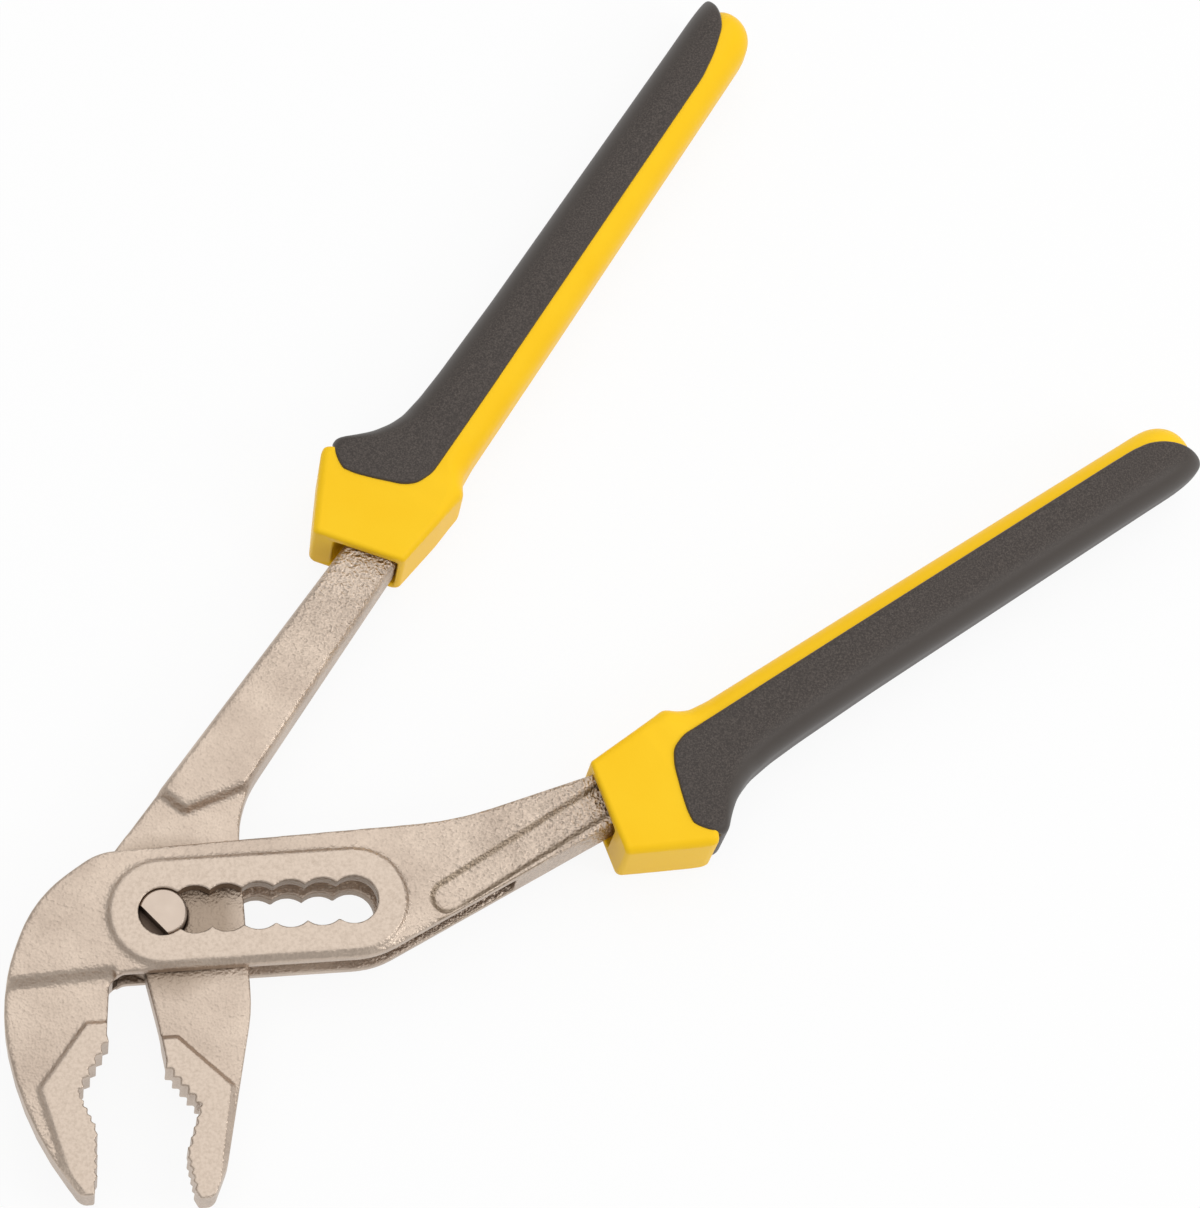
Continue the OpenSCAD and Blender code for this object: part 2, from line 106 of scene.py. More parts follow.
def forged_copy(node, name, softness):
    """A lever laid out anew as a net of small squares. Each step draws every point half of the way to
    the mean of its neighbours, times the softness at that place in mm from the pin: flats stay where
    they are, and each edge turns round over about the net's size times the root of the steps."""
    raw = merged_copy(node, name)
    net = raw.modifiers.new("net", "REMESH")
    net.mode = "VOXEL"
    net.voxel_size = net_size / 1000
    mesh = bpy.data.meshes.new_from_object(raw.evaluated_get(bpy.context.evaluated_depsgraph_get()))
    bpy.data.objects.remove(raw)
    points = np.empty(3 * len(mesh.vertices))
    mesh.vertices.foreach_get("co", points)
    points = points.reshape(-1, 3) * 1000 - pin_axis
    ends = np.empty(2 * len(mesh.edges), int)
    mesh.edges.foreach_get("vertices", ends)
    here, there = np.concatenate([ends.reshape(-1, 2), ends.reshape(-1, 2)[:, ::-1]]).T
    degree = np.bincount(here, minlength=len(points))
    pull = 0.5 * softness(*points.T)
    for _ in range(rounding_steps):
        mean = [np.bincount(here, axis[there], len(points)) / degree for axis in points.T]
        points = points + pull[:, None] * (np.stack(mean, 1) - points)
    mesh.vertices.foreach_set("co", ((points + pin_axis) / 1000).ravel())
    shade_smooth(mesh)
    mesh.name = name
    piece = in_scene(name, mesh)
    thin = piece.modifiers.new("fewer faces on flats", "DECIMATE")
    thin.ratio = min(1.0, lever_triangles / (2 * len(mesh.polygons)))
    return piece


def slotted_softness(x, y, z):
    """Softness by regions in mm from the pin: little on teeth, slot and slit, some on the ring and the
    pad, all on the forged outline."""
    height = np.abs(z)
    teeth = (x > -18.9) & (x < -8) & (y < -19)
    slot = (np.abs(y) < 5.4) & (x > -5.4) & (x < 40.4)
    slit = (height < 3.4) | ((y > -20) & (y < -12) & (x < -11) & (x > -27))
    ring = height > 5.6
    pad = (y < -19) & (height > 3.4) & (height < 4.6) & (x > -25)
    return np.select([teeth, slot, slit, ring | pad], [tooth_soft, slot_soft, slit_soft, ground_soft], 1.0)


def eye_softness(x, y, z):
    """Softness by regions in mm from the pin: little on teeth and pin hole, some on the flat eye and the
    pad, all on the shank."""
    teeth = (x < 6.6) & (y < -21)
    hole = np.hypot(x, y) < 5.2
    plate = (y < 16) & (np.abs(z) < 4.6)
    return np.select([teeth, hole, plate], [tooth_soft, slot_soft, ground_soft], 1.0)


def linear(code):
    """Linear RGBA of an sRGB hex colour: c / 12.92 below 0.04045, else ((c + 0.055) / 1.055) ^ 2.4."""
    c = np.array([int(code[i:i + 2], 16) for i in (1, 3, 5)]) / 255
    return (*np.where(c <= 0.04045, c / 12.92, ((c + 0.055) / 1.055) ** 2.4), 1.0)


def add(tree, kind, values=(), links=(), **settings):
    """Adds a shader node with its settings, fixed inputs and linked inputs."""
    made = tree.nodes.new("ShaderNode" + kind)
    for key, value in settings.items():
        setattr(made, key, value)
    for key, value in dict(values).items():
        made.inputs[key].default_value = value
    for key, source in dict(links).items():
        tree.links.new(source, made.inputs[key])
    return made


def per_metre(size_mm):
    """Scale of a pattern on Object coordinates, in metres, whose features are size_mm wide."""
    return 1000 / size_mm


def new_material(name):
    """An empty node material and its tree."""
    made = bpy.data.materials.new(name)
    made.use_nodes = True
    made.node_tree.nodes.clear()
    return made, made.node_tree


# Satin nickel on blasted steel: a warm metal whose blast grain breaks every reflection into a fine
# sparkle, coarser towards the grips; ground faces are smoother. The slot's walls, the sloped walls of
# the shank's groove and the sliding faces round the pin are darkened to a brownish tone: painted shade.
# The grain is drawn coarser than the real one, to show.
def satin_nickel(name):
    made, tree = new_material(name)
    place = add(tree, "TexCoord").outputs["Object"]
    part = add(tree, "Mapping", {"Location": tuple(-pin_axis / 1000)}, {"Vector": place})
    xyz = add(tree, "SeparateXYZ", links={0: part.outputs[0]})
    height = add(tree, "Math", links={0: xyz.outputs[2]}, operation="ABSOLUTE")
    facing = add(tree, "SeparateXYZ", links={0: add(tree, "NewGeometry").outputs["Normal"]})
    level = add(tree, "Math", links={0: facing.outputs[2]}, operation="ABSOLUTE")

    # Ground faces: level, and either on the ring or on a jaw's pad
    flat = add(tree, "MapRange", {1: 0.9, 2: 0.99}, {0: level.outputs[0]})
    ring = add(tree, "MapRange", {1: ring_low / 1000, 2: ring_high / 1000}, {0: height.outputs[0]})
    pad_z = add(tree, "Math", {1: pad_face / 1000, 2: pad_play / 1000}, {0: height.outputs[0]},
                operation="COMPARE")
    jaw_y = add(tree, "Math", {1: jaw_root / 1000}, {0: xyz.outputs[1]}, operation="LESS_THAN")
    pad = add(tree, "Math", links={0: pad_z.outputs[0], 1: jaw_y.outputs[0]}, operation="MULTIPLY")
    either = add(tree, "Math", links={0: ring.outputs[0], 1: pad.outputs[0]}, operation="MAXIMUM")
    ground = add(tree, "Math", links={0: either.outputs[0], 1: flat.outputs[0]}, operation="MULTIPLY")

    # Walls of the slot, darkened with painted shade
    slot_y = add(tree, "Math", {1: 0.0, 2: slot_half / 1000}, {0: xyz.outputs[1]}, operation="COMPARE")
    slot_x = add(tree, "Math", {1: slot_middle / 1000, 2: slot_reach / 1000}, {0: xyz.outputs[0]},
                 operation="COMPARE")
    wall = add(tree, "MapRange", {1: 0.5, 2: 0.3}, {0: level.outputs[0]})
    in_slot = add(tree, "Math", links={0: slot_y.outputs[0], 1: slot_x.outputs[0]}, operation="MULTIPLY")
    slot_wall_shade = add(tree, "Math", links={0: in_slot.outputs[0], 1: wall.outputs[0]}, operation="MULTIPLY")

    # Plating with its blast grain, and painted shade on the sliding faces round the pin
    cloud = add(tree, "TexNoise", {"Scale": per_metre(9), "Detail": 3.0}, {"Vector": place})
    plating = add(tree, "ValToRGB", links={0: cloud.outputs[0]})
    plating.color_ramp.elements[0].position = 0.3
    plating.color_ramp.elements[0].color = linear("#BCAB9C")
    plating.color_ramp.elements[1].position = 0.7
    plating.color_ramp.elements[1].color = linear("#CFBEAE")
    grain = add(tree, "TexNoise", {"Scale": per_metre(0.45), "Detail": 2.0}, {"Vector": place})
    speck = add(tree, "MapRange", {1: 0.3, 2: 0.7, 3: 0.7, 4: 1.2}, {0: grain.outputs[0]})
    away = add(tree, "VectorMath", links={0: part.outputs[0]}, operation="LENGTH")
    fleck = add(tree, "MapRange", {1: grain_near / 1000, 2: grain_far / 1000, 3: 0.25, 4: 1.0},
                {0: away.outputs["Value"]})
    blasted = add(tree, "Mix", links={0: fleck.outputs[0], 6: plating.outputs[0], 7: speck.outputs[0]},
                  data_type="RGBA", blend_type="MULTIPLY")
    near_pin = add(tree, "MapRange", {1: shade_outer_radius / 1000, 2: shade_inner_radius / 1000}, {0: away.outputs["Value"]})
    sliding = add(tree, "Math", {1: plate_half / 1000}, {0: height.outputs[0]}, operation="LESS_THAN")
    round_pin_shade = add(tree, "Math", links={0: near_pin.outputs[0], 1: sliding.outputs[0]}, operation="MULTIPLY")
    with_plate_shade = add(tree, "Mix", {7: linear("#A08F7F")}, {0: round_pin_shade.outputs[0], 6: blasted.outputs[2]},
                data_type="RGBA")

    # Tone of the ground faces, and painted shade on the slot's walls
    mottle = add(tree, "TexNoise", {"Scale": per_metre(0.6), "Detail": 3.0, "Roughness": 0.6},
                 {"Vector": place})
    wheel = add(tree, "ValToRGB", links={0: mottle.outputs[0]})
    wheel.color_ramp.elements[0].position = 0.25
    wheel.color_ramp.elements[0].color = linear("#B5A596")
    wheel.color_ramp.elements[1].position = 0.6
    wheel.color_ramp.elements[1].color = linear("#C8B8A9")
    faced = add(tree, "Mix", links={0: ground.outputs[0], 6: with_plate_shade.outputs[2], 7: wheel.outputs[0]},
                data_type="RGBA")
    with_slot_shade = add(tree, "Mix", {7: linear("#8E7B69")}, {0: slot_wall_shade.outputs[0], 6: faced.outputs[2]},
                 data_type="RGBA")

    # Sloped walls of the groove along the outer shank, darkened with painted shade
    shank = add(tree, "Mapping", {"Rotation": (0, 0, -np.radians(groove_angle))},
                {"Vector": part.outputs[0]})
    shank_xyz = add(tree, "SeparateXYZ", links={0: shank.outputs[0]})
    groove_y = add(tree, "Math", {1: groove_axis / 1000, 2: groove_half / 1000}, {0: shank_xyz.outputs[1]},
                   operation="COMPARE")
    groove_x = add(tree, "Math", {1: groove_start / 1000}, {0: shank_xyz.outputs[0]},
                   operation="GREATER_THAN")
    groove = add(tree, "Math", links={0: groove_y.outputs[0], 1: groove_x.outputs[0]}, operation="MULTIPLY")
    not_flat = add(tree, "MapRange", {1: 0.98, 2: 0.9}, {0: level.outputs[0]})
    not_steep = add(tree, "MapRange", {1: 0.4, 2: 0.65}, {0: level.outputs[0]})
    slope = add(tree, "Math", links={0: not_flat.outputs[0], 1: not_steep.outputs[0]}, operation="MULTIPLY")
    groove_wall_shade = add(tree, "Math", links={0: groove.outputs[0], 1: slope.outputs[0]}, operation="MULTIPLY")
    with_groove_shade = add(tree, "Mix", {7: linear("#9A8A79")}, {0: groove_wall_shade.outputs[0], 6: with_slot_shade.outputs[2]},
                  data_type="RGBA")

    # Gloss, and the relief of hammer marks and grain
    gloss = add(tree, "MapRange", {3: 0.42, 4: 0.36}, {0: ground.outputs[0]})
    smooth = add(tree, "MapRange", {3: 1.0, 4: 0.15}, {0: ground.outputs[0]})
    coarse = add(tree, "MapRange", {1: grain_near / 1000, 2: grain_far / 1000, 3: 0.4, 4: 1.0},
                 {0: away.outputs["Value"]})
    depth = add(tree, "Math", links={0: smooth.outputs[0], 1: coarse.outputs[0]}, operation="MULTIPLY")
    hammer = add(tree, "TexNoise", {"Scale": per_metre(0.9), "Detail": 1.0}, {"Vector": place})
    waves = add(tree, "Bump", {"Distance": 0.0004},
                {"Strength": depth.outputs[0], "Height": hammer.outputs[0]})
    bump = add(tree, "Bump", {"Distance": 0.0002},
               {"Strength": depth.outputs[0], "Height": grain.outputs[0], "Normal": waves.outputs[0]})
    metal = add(tree, "BsdfPrincipled", {"Metallic": 1.0},
                {"Base Color": with_groove_shade.outputs[2], "Roughness": gloss.outputs[0],
                 "Normal": bump.outputs[0]})
    add(tree, "OutputMaterial", links={0: metal.outputs[0]})
    return made


nickel = satin_nickel("satin_nickel_on_forged_steel")
outer_lever = forged_copy("outer_lever", "slotted_lever", slotted_softness)
inner_lever = forged_copy("inner_lever", "eye_lever", eye_softness)
for lever, body, node in ((outer_lever, "outer", "outer_lever"), (inner_lever, "inner", "inner_lever")):
    lever.data.materials.append(nickel)
    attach(lever, body)
    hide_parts(node)


# Pivot pin
# A turned steel pin, pressed into the inner lever and turning with it; each end is ground flush with
# the ring and has one flat milled on it, which passes the necks of the slot when the tool is wide open.
edge_break = 0.12                  # mm
pin_shade_below, pin_ground = 4.5, 6.2   # mm from the middle plane: painted shade below the first, the steel's own tone above the other


# Turned steel: bright on the ground ends, with faint clouds; below them it is darkened with painted shade.
def turned_steel(name):
    made, tree = new_material(name)
    place = add(tree, "TexCoord").outputs["Object"]
    cloud = add(tree, "TexNoise", {"Scale": per_metre(3), "Detail": 2.0}, {"Vector": place})
    tone = add(tree, "ValToRGB", links={0: cloud.outputs[0]})
    tone.color_ramp.elements[0].color = linear("#BBAB9D")
    tone.color_ramp.elements[1].color = linear("#CBBBAD")
    part = add(tree, "Mapping", {"Location": tuple(-pin_axis / 1000)}, {"Vector": place})
    xyz = add(tree, "SeparateXYZ", links={0: part.outputs[0]})
    height = add(tree, "Math", links={0: xyz.outputs[2]}, operation="ABSOLUTE")
    end = add(tree, "MapRange", {1: pin_shade_below / 1000, 2: pin_ground / 1000}, {0: height.outputs[0]})
    # Painted shade: dark below the ground end, where the pin sits deep in the slot
    shown = add(tree, "Mix", {6: linear("#5E5046")}, {0: end.outputs[0], 7: tone.outputs[0]},
                data_type="RGBA")
    grit = add(tree, "TexNoise", {"Scale": per_metre(0.3)}, {"Vector": place})
    bump = add(tree, "Bump", {"Strength": 0.12, "Distance": 0.0001}, {"Height": grit.outputs[0]})
    metal = add(tree, "BsdfPrincipled", {"Metallic": 1.0, "Roughness": 0.38},
                {"Base Color": shown.outputs[2], "Normal": bump.outputs[0]})
    add(tree, "OutputMaterial", links={0: metal.outputs[0]})
    return made


pin = merged_copy("pivot_pin", "flatted_pin")
shade_smooth(pin.data)
broken_edge = pin.modifiers.new("broken edge", "BEVEL")
broken_edge.width = edge_break / 1000
broken_edge.segments = 2
broken_edge.angle_limit = np.radians(30)
pin.modifiers.new("flat faces", "WEIGHTED_NORMAL")
pin.data.materials.append(turned_steel("turned_and_ground_steel"))
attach(pin, "inner")
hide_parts("pivot_pin")


# Hard sleeves
# Each grip is a hard plastic moulding pushed over the tang, with a flared collar and a finger guard
# in front, a slanted mouth round the shank, and a bare stripe along the edge that faces the other grip.
class Grip:
    """One grip in its own frame, in mm: along it from the pin, and outward from its axis, which runs at
    that angle in degrees and that offset from the pin, on the left of the way (side 1) or on the right
    (side -1). Given are also the inner edge at the mouth, the edge of the bare stripe, the room that
    the mouth leaves outside the shank, and how far the cover's cap is shifted outward."""

    def __init__(self, angle, offset, side, inner_front, stripe, room, cap_shift):
        self.angle = np.radians(angle)
        self.offset = offset
        self.side = side
        self.stripe = stripe
        self.room = room
        self.cap_shift = cap_shift
        inner = [(70, inner_front), (80, inner_front - 0.4), (92.5, -9.2), (97, -9.6), (99.8, -10),
                 (101.6, -8.7), (104, -7.6), (108.5, -7.3), (138.5, -7.1), (205, -6.3), (213, -6.2),
                 (240, -6.2)]
        outer = [(70, 5.7), (78, 10.2), (83, 12.8), (91, 16.9), (92.4, 17.3), (93.5, 17.2), (94.6, 14.4),
                 (96.2, 14.2), (98.3, 11.6), (101.2, 9.3), (104.9, 7.3), (107.9, 6.3), (113.2, 5.7),
                 (138.5, 5.6), (240, 5.3)]
        cover = [(70, 15.4), (94.2, 15.6), (95.3, 15.9), (96.2, 15.6), (98.3, 13.6), (101.2, 11.4),
                 (104.9, 9.4), (107.9, 8.4), (113.2, 7.7), (120, 7.35), (138.5, 6.95), (205, 6.6),
                 (240, 6.6)]
        half = [(70, 7.7), (80, 8.0), (92.5, 8.3), (98.5, 8.3), (101, 7.8), (103.5, 7.7), (138.5, 7.7),
                (205, 7.2), (240, 7.0)]
        corner = [(70, 1.6), (80, 1.6), (92.5, 1.8), (95.5, 2.2), (98.5, 3.0), (103.5, 4.4), (108.5, 5.4),
                  (138.5, 6.0), (240, 6.0)]
        self.lines = [np.array(line).T for line in (inner, outer, cover, half, corner)]

    def edges(self, along, ease):
        """Inner edge, outer edge of the sleeve and of the cover's seat, half thickness and corner radius at
        each place along the grip: straight between the given places, each bend eased over that many mm."""
        near = np.asarray(along)[..., None] + np.linspace(-ease, ease, 9)
        return [np.interp(near, *line).mean(-1) for line in self.lines]

    def to_part(self, along, out, height):
        """Points of the grip's frame in the part's frame, in metres: turned by the grip's angle about
        the pin, with outward to the left of the way for the inner grip and to the right for the outer."""
        c, s = np.cos(self.angle), np.sin(self.angle)
        reach = self.side * (out + self.offset)
        points = np.stack([along * c - reach * s, along * s + reach * c, height], -1)
        return (points + pin_axis) / 1000


outer_grip = Grip(angle=29.48, offset=28.02, side=-1, inner_front=-8.2, stripe=-3.4, room=0.3,
                  cap_shift=0.0)
inner_grip = Grip(angle=53, offset=7.4, side=1, inner_front=-7.2, stripe=-2.8, room=1.6,
                  cap_shift=1.8)
mouth_at, mouth_slant, lean_from = 79.5, np.tan(np.radians(14)), 92
sleeve_end, end_round, end_power, end_axis = 220.2, 8.6, 0.87, 1.0
shank_low, shank_high, shank_half, shank_corner = -6.6, 4.0, 5.55, 0.7
socket_chamfer, socket_depth, socket_floor = 0.35, 9.0, 3.0
seat_depth, seat_from, seat_run = 0.15, 93.2, 2.0
lip_round = 0.8
arc = 11                         # points on each rounded corner


def corner_ring(low, high, half, corner):
    """Rounded rectangle: a quarter circle about the centre of each of its four corners, of that radius
    or as large as the width allows."""
    quarter = np.repeat(np.arange(4), arc)
    angle = np.pi / 2 * (quarter + np.tile(np.linspace(0, 1, arc), 4))
    right = np.isin(quarter, (0, 3))
    top = np.where(quarter < 2, 1.0, -1.0)
    low, high, half, corner = (np.asarray(v, float) for v in (low, high, half, corner))
    corner = np.minimum(corner, 0.49 * (high - low))
    out = np.where(right, high - corner, low + corner) + corner * np.cos(angle)
    return out, top * (half - corner) + corner * np.sin(angle)


def sleeve_points(grip):
    """Rings from the tip to the mouth and back into the socket. The body's rings are rounded rectangles
    that shrink to the tip as a superellipse; near the mouth they lean until they lie in its plane. The
    socket is a chamfer, a straight wall and a floor."""
    phi = np.linspace(np.pi / 2, 0, 16)
    tip_along = sleeve_end - end_round + end_round * np.sin(phi) ** end_power
    tip_scale = np.cos(phi) ** end_power
    body = np.concatenate([np.arange(205, 112, -6.0), np.arange(111.5, 97, -0.5),
                           np.arange(97, 91.6, -0.25), np.linspace(91.5, mouth_at + 0.9, 10)])
    lip = np.linspace(0, np.pi / 2, 6)
    station = np.concatenate([tip_along, body, mouth_at + lip_round * (1 - np.sin(lip))])[:, None]
    scale = np.concatenate([tip_scale, np.ones(len(body) + len(lip))])[:, None]
    inset = np.concatenate([np.zeros(len(tip_along) + len(body)), lip_round * (1 - np.cos(lip))])[:, None]
    lean = np.clip((lean_from - station) / (lean_from - mouth_at), 0, 1)
    along = station + np.zeros(4 * arc)
    for _ in range(12):
        low, high, _, half, corner = grip.edges(along, 0.8)
        half = half - seat_depth * np.clip((along - seat_from) / seat_run, 0, 1)
        out, height = corner_ring(end_axis + (low + inset - end_axis) * scale,
                                  end_axis + (high - inset - end_axis) * scale,
                                  (half - inset) * scale, np.maximum(corner - inset, 0.5) * scale)
        along = station - lean * mouth_slant * out
    depth = np.array([0.0, socket_chamfer, socket_depth, socket_depth])[:, None]
    grow = np.array([socket_chamfer, 0.0, 0.0, -socket_floor])[:, None]
    hole_out, hole_height = corner_ring(shank_low - grow, shank_high + grip.room + grow, shank_half + grow,
                                        shank_corner + np.maximum(grow, 0))
    hole_along = mouth_at + depth - mouth_slant * hole_out
    return grip.to_part(np.concatenate([along, hole_along]), np.concatenate([out, hole_out]),
                        np.concatenate([height, hole_height]))


def closed_tube(name, points, flip):
    """Quads between neighbouring rings, which close on themselves; the first and last are capped."""
    rings, around = points.shape[:2]
    index = np.arange(rings * around).reshape(rings, around)
    after = np.roll(index, -1, 1)
    quads = np.stack([index[:-1], after[:-1], after[1:], index[1:]], -1).reshape(-1, 4)
    faces = [*quads[:, ::-1 if flip else 1].tolist()]
    faces += [index[0][::1 if flip else -1].tolist(), index[-1][::-1 if flip else 1].tolist()]
    mesh = bpy.data.meshes.new(name)
    mesh.from_pydata(points.reshape(-1, 3), [], faces)
    shade_smooth(mesh)
    piece = in_scene(name, mesh)
    even = piece.modifiers.new("even faces", "WEIGHTED_NORMAL")
    even.keep_sharp = False
    return piece


# Moulded polypropylene, mass coloured: an even, satin yellow with a faint orange peel and, at a
# larger scale, hardly visible shades of flow.
def moulded_yellow(name):
    made, tree = new_material(name)
    place = add(tree, "TexCoord").outputs["Object"]
    flow = add(tree, "TexNoise", {"Scale": per_metre(14), "Detail": 2.0}, {"Vector": place})
    tone = add(tree, "ValToRGB", links={0: flow.outputs[0]})
    tone.color_ramp.elements[0].color = linear("#FBC61A")
    tone.color_ramp.elements[1].color = linear("#FFD12A")
    peel = add(tree, "TexNoise", {"Scale": per_metre(0.8), "Detail": 1.0}, {"Vector": place})
    bump = add(tree, "Bump", {"Strength": 0.06, "Distance": 0.0002}, {"Height": peel.outputs[0]})
    satin = add(tree, "MapRange", {3: 0.32, 4: 0.4}, {0: flow.outputs[0]})
    plastic = add(tree, "BsdfPrincipled", {"IOR": 1.49, "Specular IOR Level": 0.08},
                  {"Base Color": tone.outputs[0], "Roughness": satin.outputs[0], "Normal": bump.outputs[0]})
    add(tree, "OutputMaterial", links={0: plastic.outputs[0]})
    return made


yellow = moulded_yellow("moulded_yellow_polypropylene")
for grip, body in ((outer_grip, "outer"), (inner_grip, "inner")):
    sleeve = closed_tube(body + "_sleeve", sleeve_points(grip), grip.side > 0)
    sleeve.data.materials.append(yellow)
    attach(sleeve, body)
    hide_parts(body + "_grip_sleeve")


# Soft covers
# A dark elastomer moulded onto each sleeve: it wraps the outer edge and both faces up to the bare
# stripe, runs forward onto the collar in a rounded nose and ends in a cap a little past the sleeve.
cover_proud, cover_roll, cover_wall = 0.5, 0.8, 1.6
cap_end, cap_round = 220.5, 9.7
cap_shift_from, cap_shift_run = 200, 15
nose_length, line_step = 48, 0.4
path_ease, rim_band, cover_lift = 1.1, 1.1, 0.15
bow_from = 0.54                  # share of a line, beyond which it leaves the spine for the edge


def cap_scale(along):
    """Size of the cover's section, (1 - u ^ 2.4) ^ 0.42, with u from 0 at the cap's start to 1 at its
    tip."""
    u = np.clip((along - cap_end + cap_round) / cap_round, 0, 1)
    return np.clip(1 - u ** 2.4, 0, 1) ** 0.42


def cover_points(grip):
    """Lines across the cover, each from its edge on the front face, round the outer side, to its edge
    on the back. An edge path and a spine along the outer side are both followed by length; a line's
    points leave the spine's place for the edge's in a cubic over the nearer half, are spaced along the
    grip's section, set out by the cover's rise, and rolled down at the rim. The last line is one point,
    the cap's tip, to which the sections shrink."""
    edge = np.array([(90.8, 11.6), (91.1, 9.3), (92.4, 5.4), (94.3, 0.6), (96.2, grip.stripe + 1.2),
                     (99.5, grip.stripe), (120, grip.stripe), (202, grip.stripe + 0.3),
                     (208, grip.stripe + 0.4), (211.5, grip.stripe + 0.9), (214.2, -1.4), (216.6, 0.1),
                     (218.7, 2.0), (cap_end, 4.4)])
    edge[:, 1] += grip.cap_shift * np.clip((edge[:, 0] - cap_shift_from) / cap_shift_run, 0, 1)
    cap_axis = edge[-1, 1]
    spine = np.array([94.2, 95.0, 95.9, 97.0, 98.2, 101, 120, 202, 208, 211.5, 214.2, 216.6, 218.7,
                      cap_end])
    rim = np.array([0.0, 0.03, 0.08, 0.16, 0.27, 0.42, 0.6, 0.85])
    tip = np.array([0.4, 0.25, 0.15, 0.08, 0.04, 0.015, 0.004, 0.0])
    length = np.concatenate([[0], np.hypot(*np.diff(edge, axis=0).T).cumsum()])
    straight_end, whole = length[7], length[-1]
    t = np.concatenate([rim, np.arange(0.9, nose_length, line_step),
                        np.linspace(nose_length, straight_end, 40)[:-1],
                        np.arange(straight_end, whole - tip[0], line_step), whole - tip])
    ease = np.linspace(-path_ease, path_ease, 9) * np.clip(np.minimum(t, whole - t), 0, 1)[:, None]
    near = np.clip(t[:, None] + ease, 0, whole)
    edge_along, edge_out, spine_along = (np.interp(near, length, path).mean(-1)[:, None]
                                         for path in (*edge.T, spine))

    def section(along):
        """Outer edge, half thickness and corner radius of the cover's seat, shrunk about the cap's axis."""
        _, _, high, half, corner = grip.edges(along, 1.0)
        scale = cap_scale(along)
        high = cap_axis + (high + cover_lift - cap_axis) * scale
        return high, half * scale, np.minimum(corner, half) * scale

    high, half, corner = section(edge_along)
    turned = np.arccos(np.clip((edge_out - high + corner) / np.maximum(corner, 1e-6), 0, 1))
    total = half - corner + corner * turned + np.maximum(high - corner - edge_out, 0)
    share = np.linspace(1, 0, 44)
    inside = total - np.minimum(rim_band, total)
    walk = np.concatenate([total - np.minimum(rim, total), inside * share], 1)
    across = np.clip(walk / np.maximum(total, 1e-6), 0, 1)
    bow = np.clip((across - bow_from) / (1 - bow_from), 0, 1)
    along = spine_along + (edge_along - spine_along) * (0.8 * bow + 1.1 * bow ** 2 - 0.9 * bow ** 3)
    high, half, corner = section(along)
    side = half - corner
    bend = np.clip((walk - side) / np.maximum(corner, 1e-6), 0, np.pi / 2)
    flat = np.maximum(walk - side - corner * np.pi / 2, 0)
    out = high - corner + corner * np.cos(bend) - flat
    height = np.minimum(walk, side) + corner * np.sin(bend)
    start = np.stack([along, out, height], -1)
    from_edge = np.minimum(total - walk, np.linalg.norm(start - start[:1], axis=-1))
    rolled = np.clip(cover_roll - from_edge, 0, None)
    drop = cover_roll - np.sqrt(np.maximum(cover_roll ** 2 - rolled ** 2, 0))
    rise = (cover_proud - drop) * np.minimum(cap_scale(along) * 3, 1)
    out = out + rise * np.cos(bend)
    height = height + rise * np.sin(bend)
    front_and_back = [np.concatenate([v, sign * v[:, -2::-1]], 1)
                      for v, sign in ((along, 1), (out, 1), (height, -1))]
    return grip.to_part(*front_and_back)


def open_sheet(name, points, flip):
    """Quads between neighbouring lines, each of which is open at both ends; a line that is one point is
    merged into it."""
    lines, across = points.shape[:2]
    index = np.arange(lines * across).reshape(lines, across)
    quads = np.stack([index[:-1, :-1], index[:-1, 1:], index[1:, 1:], index[1:, :-1]], -1).reshape(-1, 4)
    mesh = bpy.data.meshes.new(name)
    mesh.from_pydata(points.reshape(-1, 3), [], quads[:, ::-1 if flip else 1].tolist())
    merge(mesh, mesh)
    shade_smooth(mesh)
    return in_scene(name, mesh)


# Thermoplastic elastomer: a warm near-black with a spark-eroded grain on its faces, which scatters
# pale specks, and a smoother, slightly shinier outer side.
def soft_elastomer(name):
    made, tree = new_material(name)
    place = add(tree, "TexCoord").outputs["Object"]
    facing = add(tree, "SeparateXYZ", links={0: add(tree, "NewGeometry").outputs["Normal"]})
    level = add(tree, "Math", links={0: facing.outputs[2]}, operation="ABSOLUTE")
    face = add(tree, "MapRange", {1: 0.75, 2: 0.97}, {0: level.outputs[0]})
    grain = add(tree, "TexNoise", {"Scale": per_metre(0.34), "Detail": 3.0, "Roughness": 0.7},
                {"Vector": place})
    speck = add(tree, "ValToRGB", links={0: grain.outputs[0]})
    speck.color_ramp.elements[0].position = 0.42
    speck.color_ramp.elements[0].color = linear("#38312D")
    speck.color_ramp.elements[1].position = 0.72
    speck.color_ramp.elements[1].color = linear("#5C534D")
    tone = add(tree, "Mix", {6: linear("#443D38")}, {0: face.outputs[0], 7: speck.outputs[0]},
               data_type="RGBA")
    gloss = add(tree, "MapRange", {3: 0.45, 4: 0.62}, {0: face.outputs[0]})
    depth = add(tree, "MapRange", {3: 0.06, 4: 0.45}, {0: face.outputs[0]})
    bump = add(tree, "Bump", {"Distance": 0.00015},
               {"Strength": depth.outputs[0], "Height": grain.outputs[0]})
    soft = add(tree, "BsdfPrincipled", {"IOR": 1.5, "Specular IOR Level": 0.4},
               {"Base Color": tone.outputs[2], "Roughness": gloss.outputs[0], "Normal": bump.outputs[0]})
    add(tree, "OutputMaterial", links={0: soft.outputs[0]})
    return made


rubber = soft_elastomer("grained_thermoplastic_elastomer")
for grip, body in ((outer_grip, "outer"), (inner_grip, "inner")):
    cover = open_sheet(body + "_cover", cover_points(grip), grip.side > 0)
    wall = cover.modifiers.new("moulded wall", "SOLIDIFY")
    wall.thickness = cover_wall / 1000
    wall.offset = -1
    cover.data.materials.append(rubber)
    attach(cover, body)
    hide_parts(body + "_grip_cover")


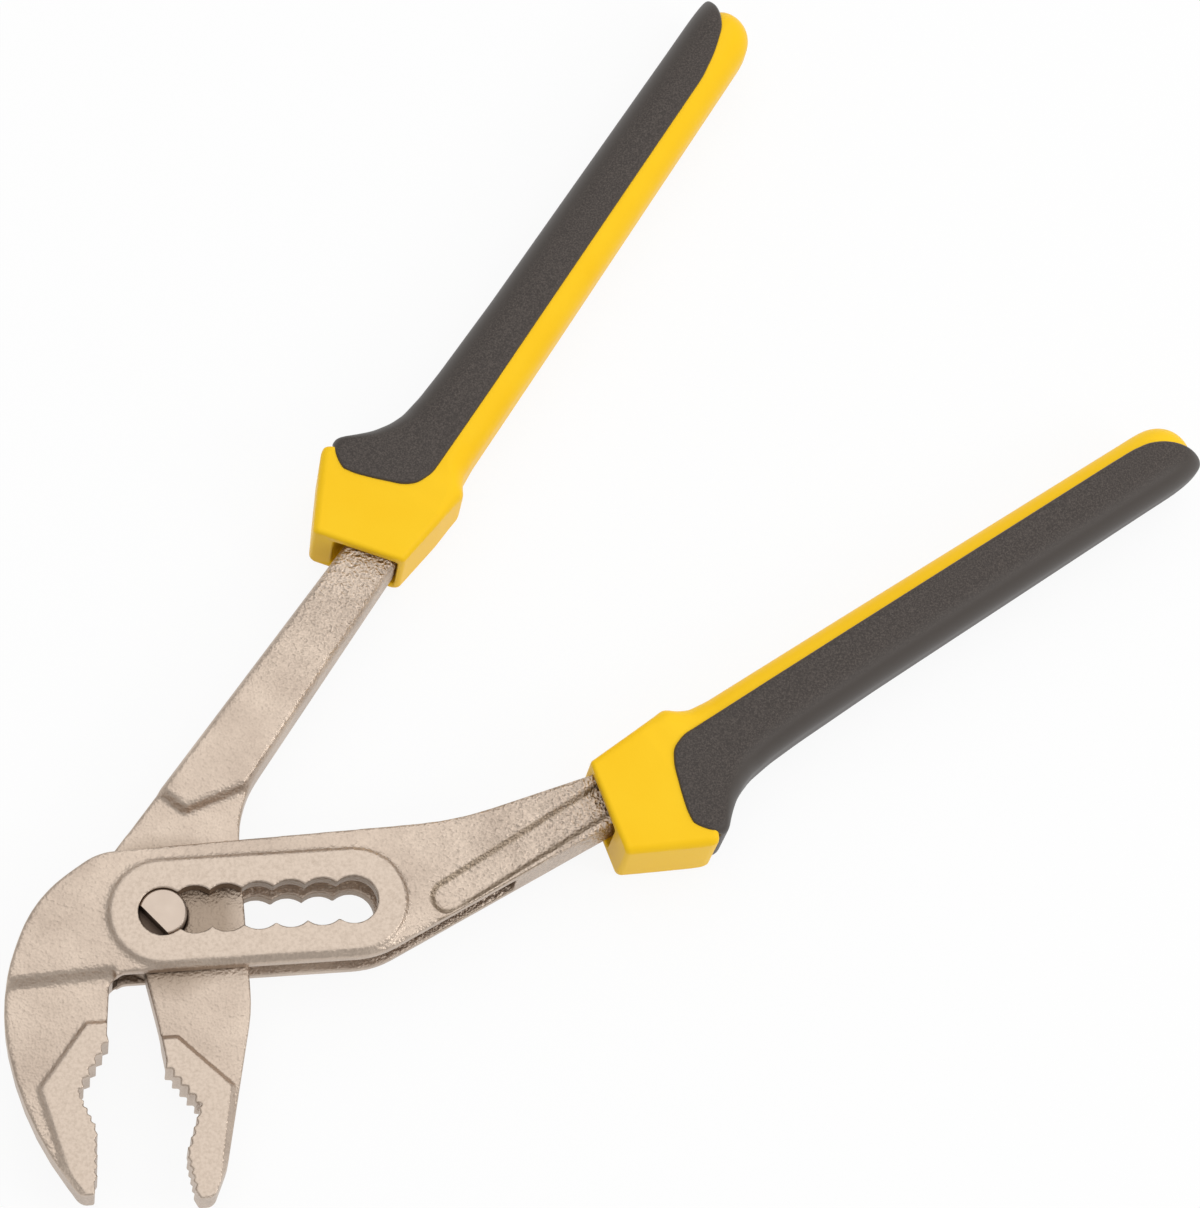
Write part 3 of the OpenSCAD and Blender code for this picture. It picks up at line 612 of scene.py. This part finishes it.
# Floor and light
# The tool lies on a white table under one large soft box, in an even white room; a smaller box at the
# lower right lights the rounded edges on that side.
floor_size, floor_gap, floor_glow = 24.0, 0.00005, 0.9
room_strength = 0.58
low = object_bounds()[0][2]
corners = np.array([(-1, -1), (1, -1), (1, 1), (-1, 1)]) * floor_size / 2
sheet = bpy.data.meshes.new("table")
sheet.from_pydata(np.column_stack([corners, np.full(4, low - floor_gap)]).tolist(), [], [(0, 1, 2, 3)])
table = in_scene("table", sheet)
white, tree = new_material("white_table")
rays = add(tree, "LightPath")
seen = add(tree, "Math", links={0: rays.outputs["Is Camera Ray"], 1: rays.outputs["Is Glossy Ray"]},
           operation="MAXIMUM")
through = add(tree, "Math", links={0: seen.outputs[0], 1: rays.outputs["Is Transmission Ray"]},
              operation="MAXIMUM")
share = add(tree, "Math", {1: floor_glow}, {0: through.outputs[0]}, operation="MULTIPLY")
matt = add(tree, "BsdfDiffuse", {"Color": linear("#F4F4F4")})
glow = add(tree, "Emission", {"Color": linear("#FFFFFF"), "Strength": 1.0})
both_ways = add(tree, "MixShader", links={0: share.outputs[0], 1: matt.outputs[0], 2: glow.outputs[0]})
add(tree, "OutputMaterial", links={0: both_ways.outputs[0]})
sheet.materials.append(white)

room = bpy.data.worlds.new("white_room")
room.use_nodes = True
room.node_tree.nodes["Background"].inputs["Color"].default_value = linear("#FFFFFF")
room.node_tree.nodes["Background"].inputs["Strength"].default_value = room_strength
bpy.context.scene.world = room


def facing_matrix(place, right, up):
    """Columns are the right, up and backward ways of a camera or lamp that stands at that place."""
    right, up = np.array(right), np.array(up)
    turn = np.eye(4)
    turn[:3] = np.column_stack([right, up, np.cross(right, up), place])
    return Matrix(turn.tolist())


def hang(name, way, distance, size, energy):
    """A square soft box that stands in that direction from the tool and looks at it."""
    lamp = bpy.data.lights.new(name, "AREA")
    lamp.shape = "SQUARE"
    lamp.size = size
    lamp.energy = energy
    way = np.array(way) / np.linalg.norm(way)
    across = np.cross([0, 1, 0], way)
    across /= np.linalg.norm(across)
    box = in_scene(name, lamp)
    box.matrix_world = facing_matrix(distance * way, across, np.cross(way, across))


hang("soft_box", way=(0.15, 0.36, 0.92), distance=0.95, size=1.5, energy=5.6)
hang("side_box", way=(0.72, -0.4, 0.57), distance=0.9, size=0.3, energy=1.5)


# Camera
# A long lens about 0.8 m above the tool, leaning down and to the left as in the photograph.
camera_place = (-0.121901, -0.277983, 0.752052)
camera_right, camera_up = (0.98751, -0.0999, 0.12187), (0.05181, 0.93621, 0.3476)
eye = bpy.data.cameras.new("camera")
eye.lens = 126
eye.sensor_width = 36
eye.sensor_fit = "HORIZONTAL"
camera = in_scene("camera", eye)
camera.matrix_world = facing_matrix(camera_place, camera_right, camera_up)
bpy.context.scene.camera = camera
bpy.context.scene.view_settings.view_transform = "Standard"
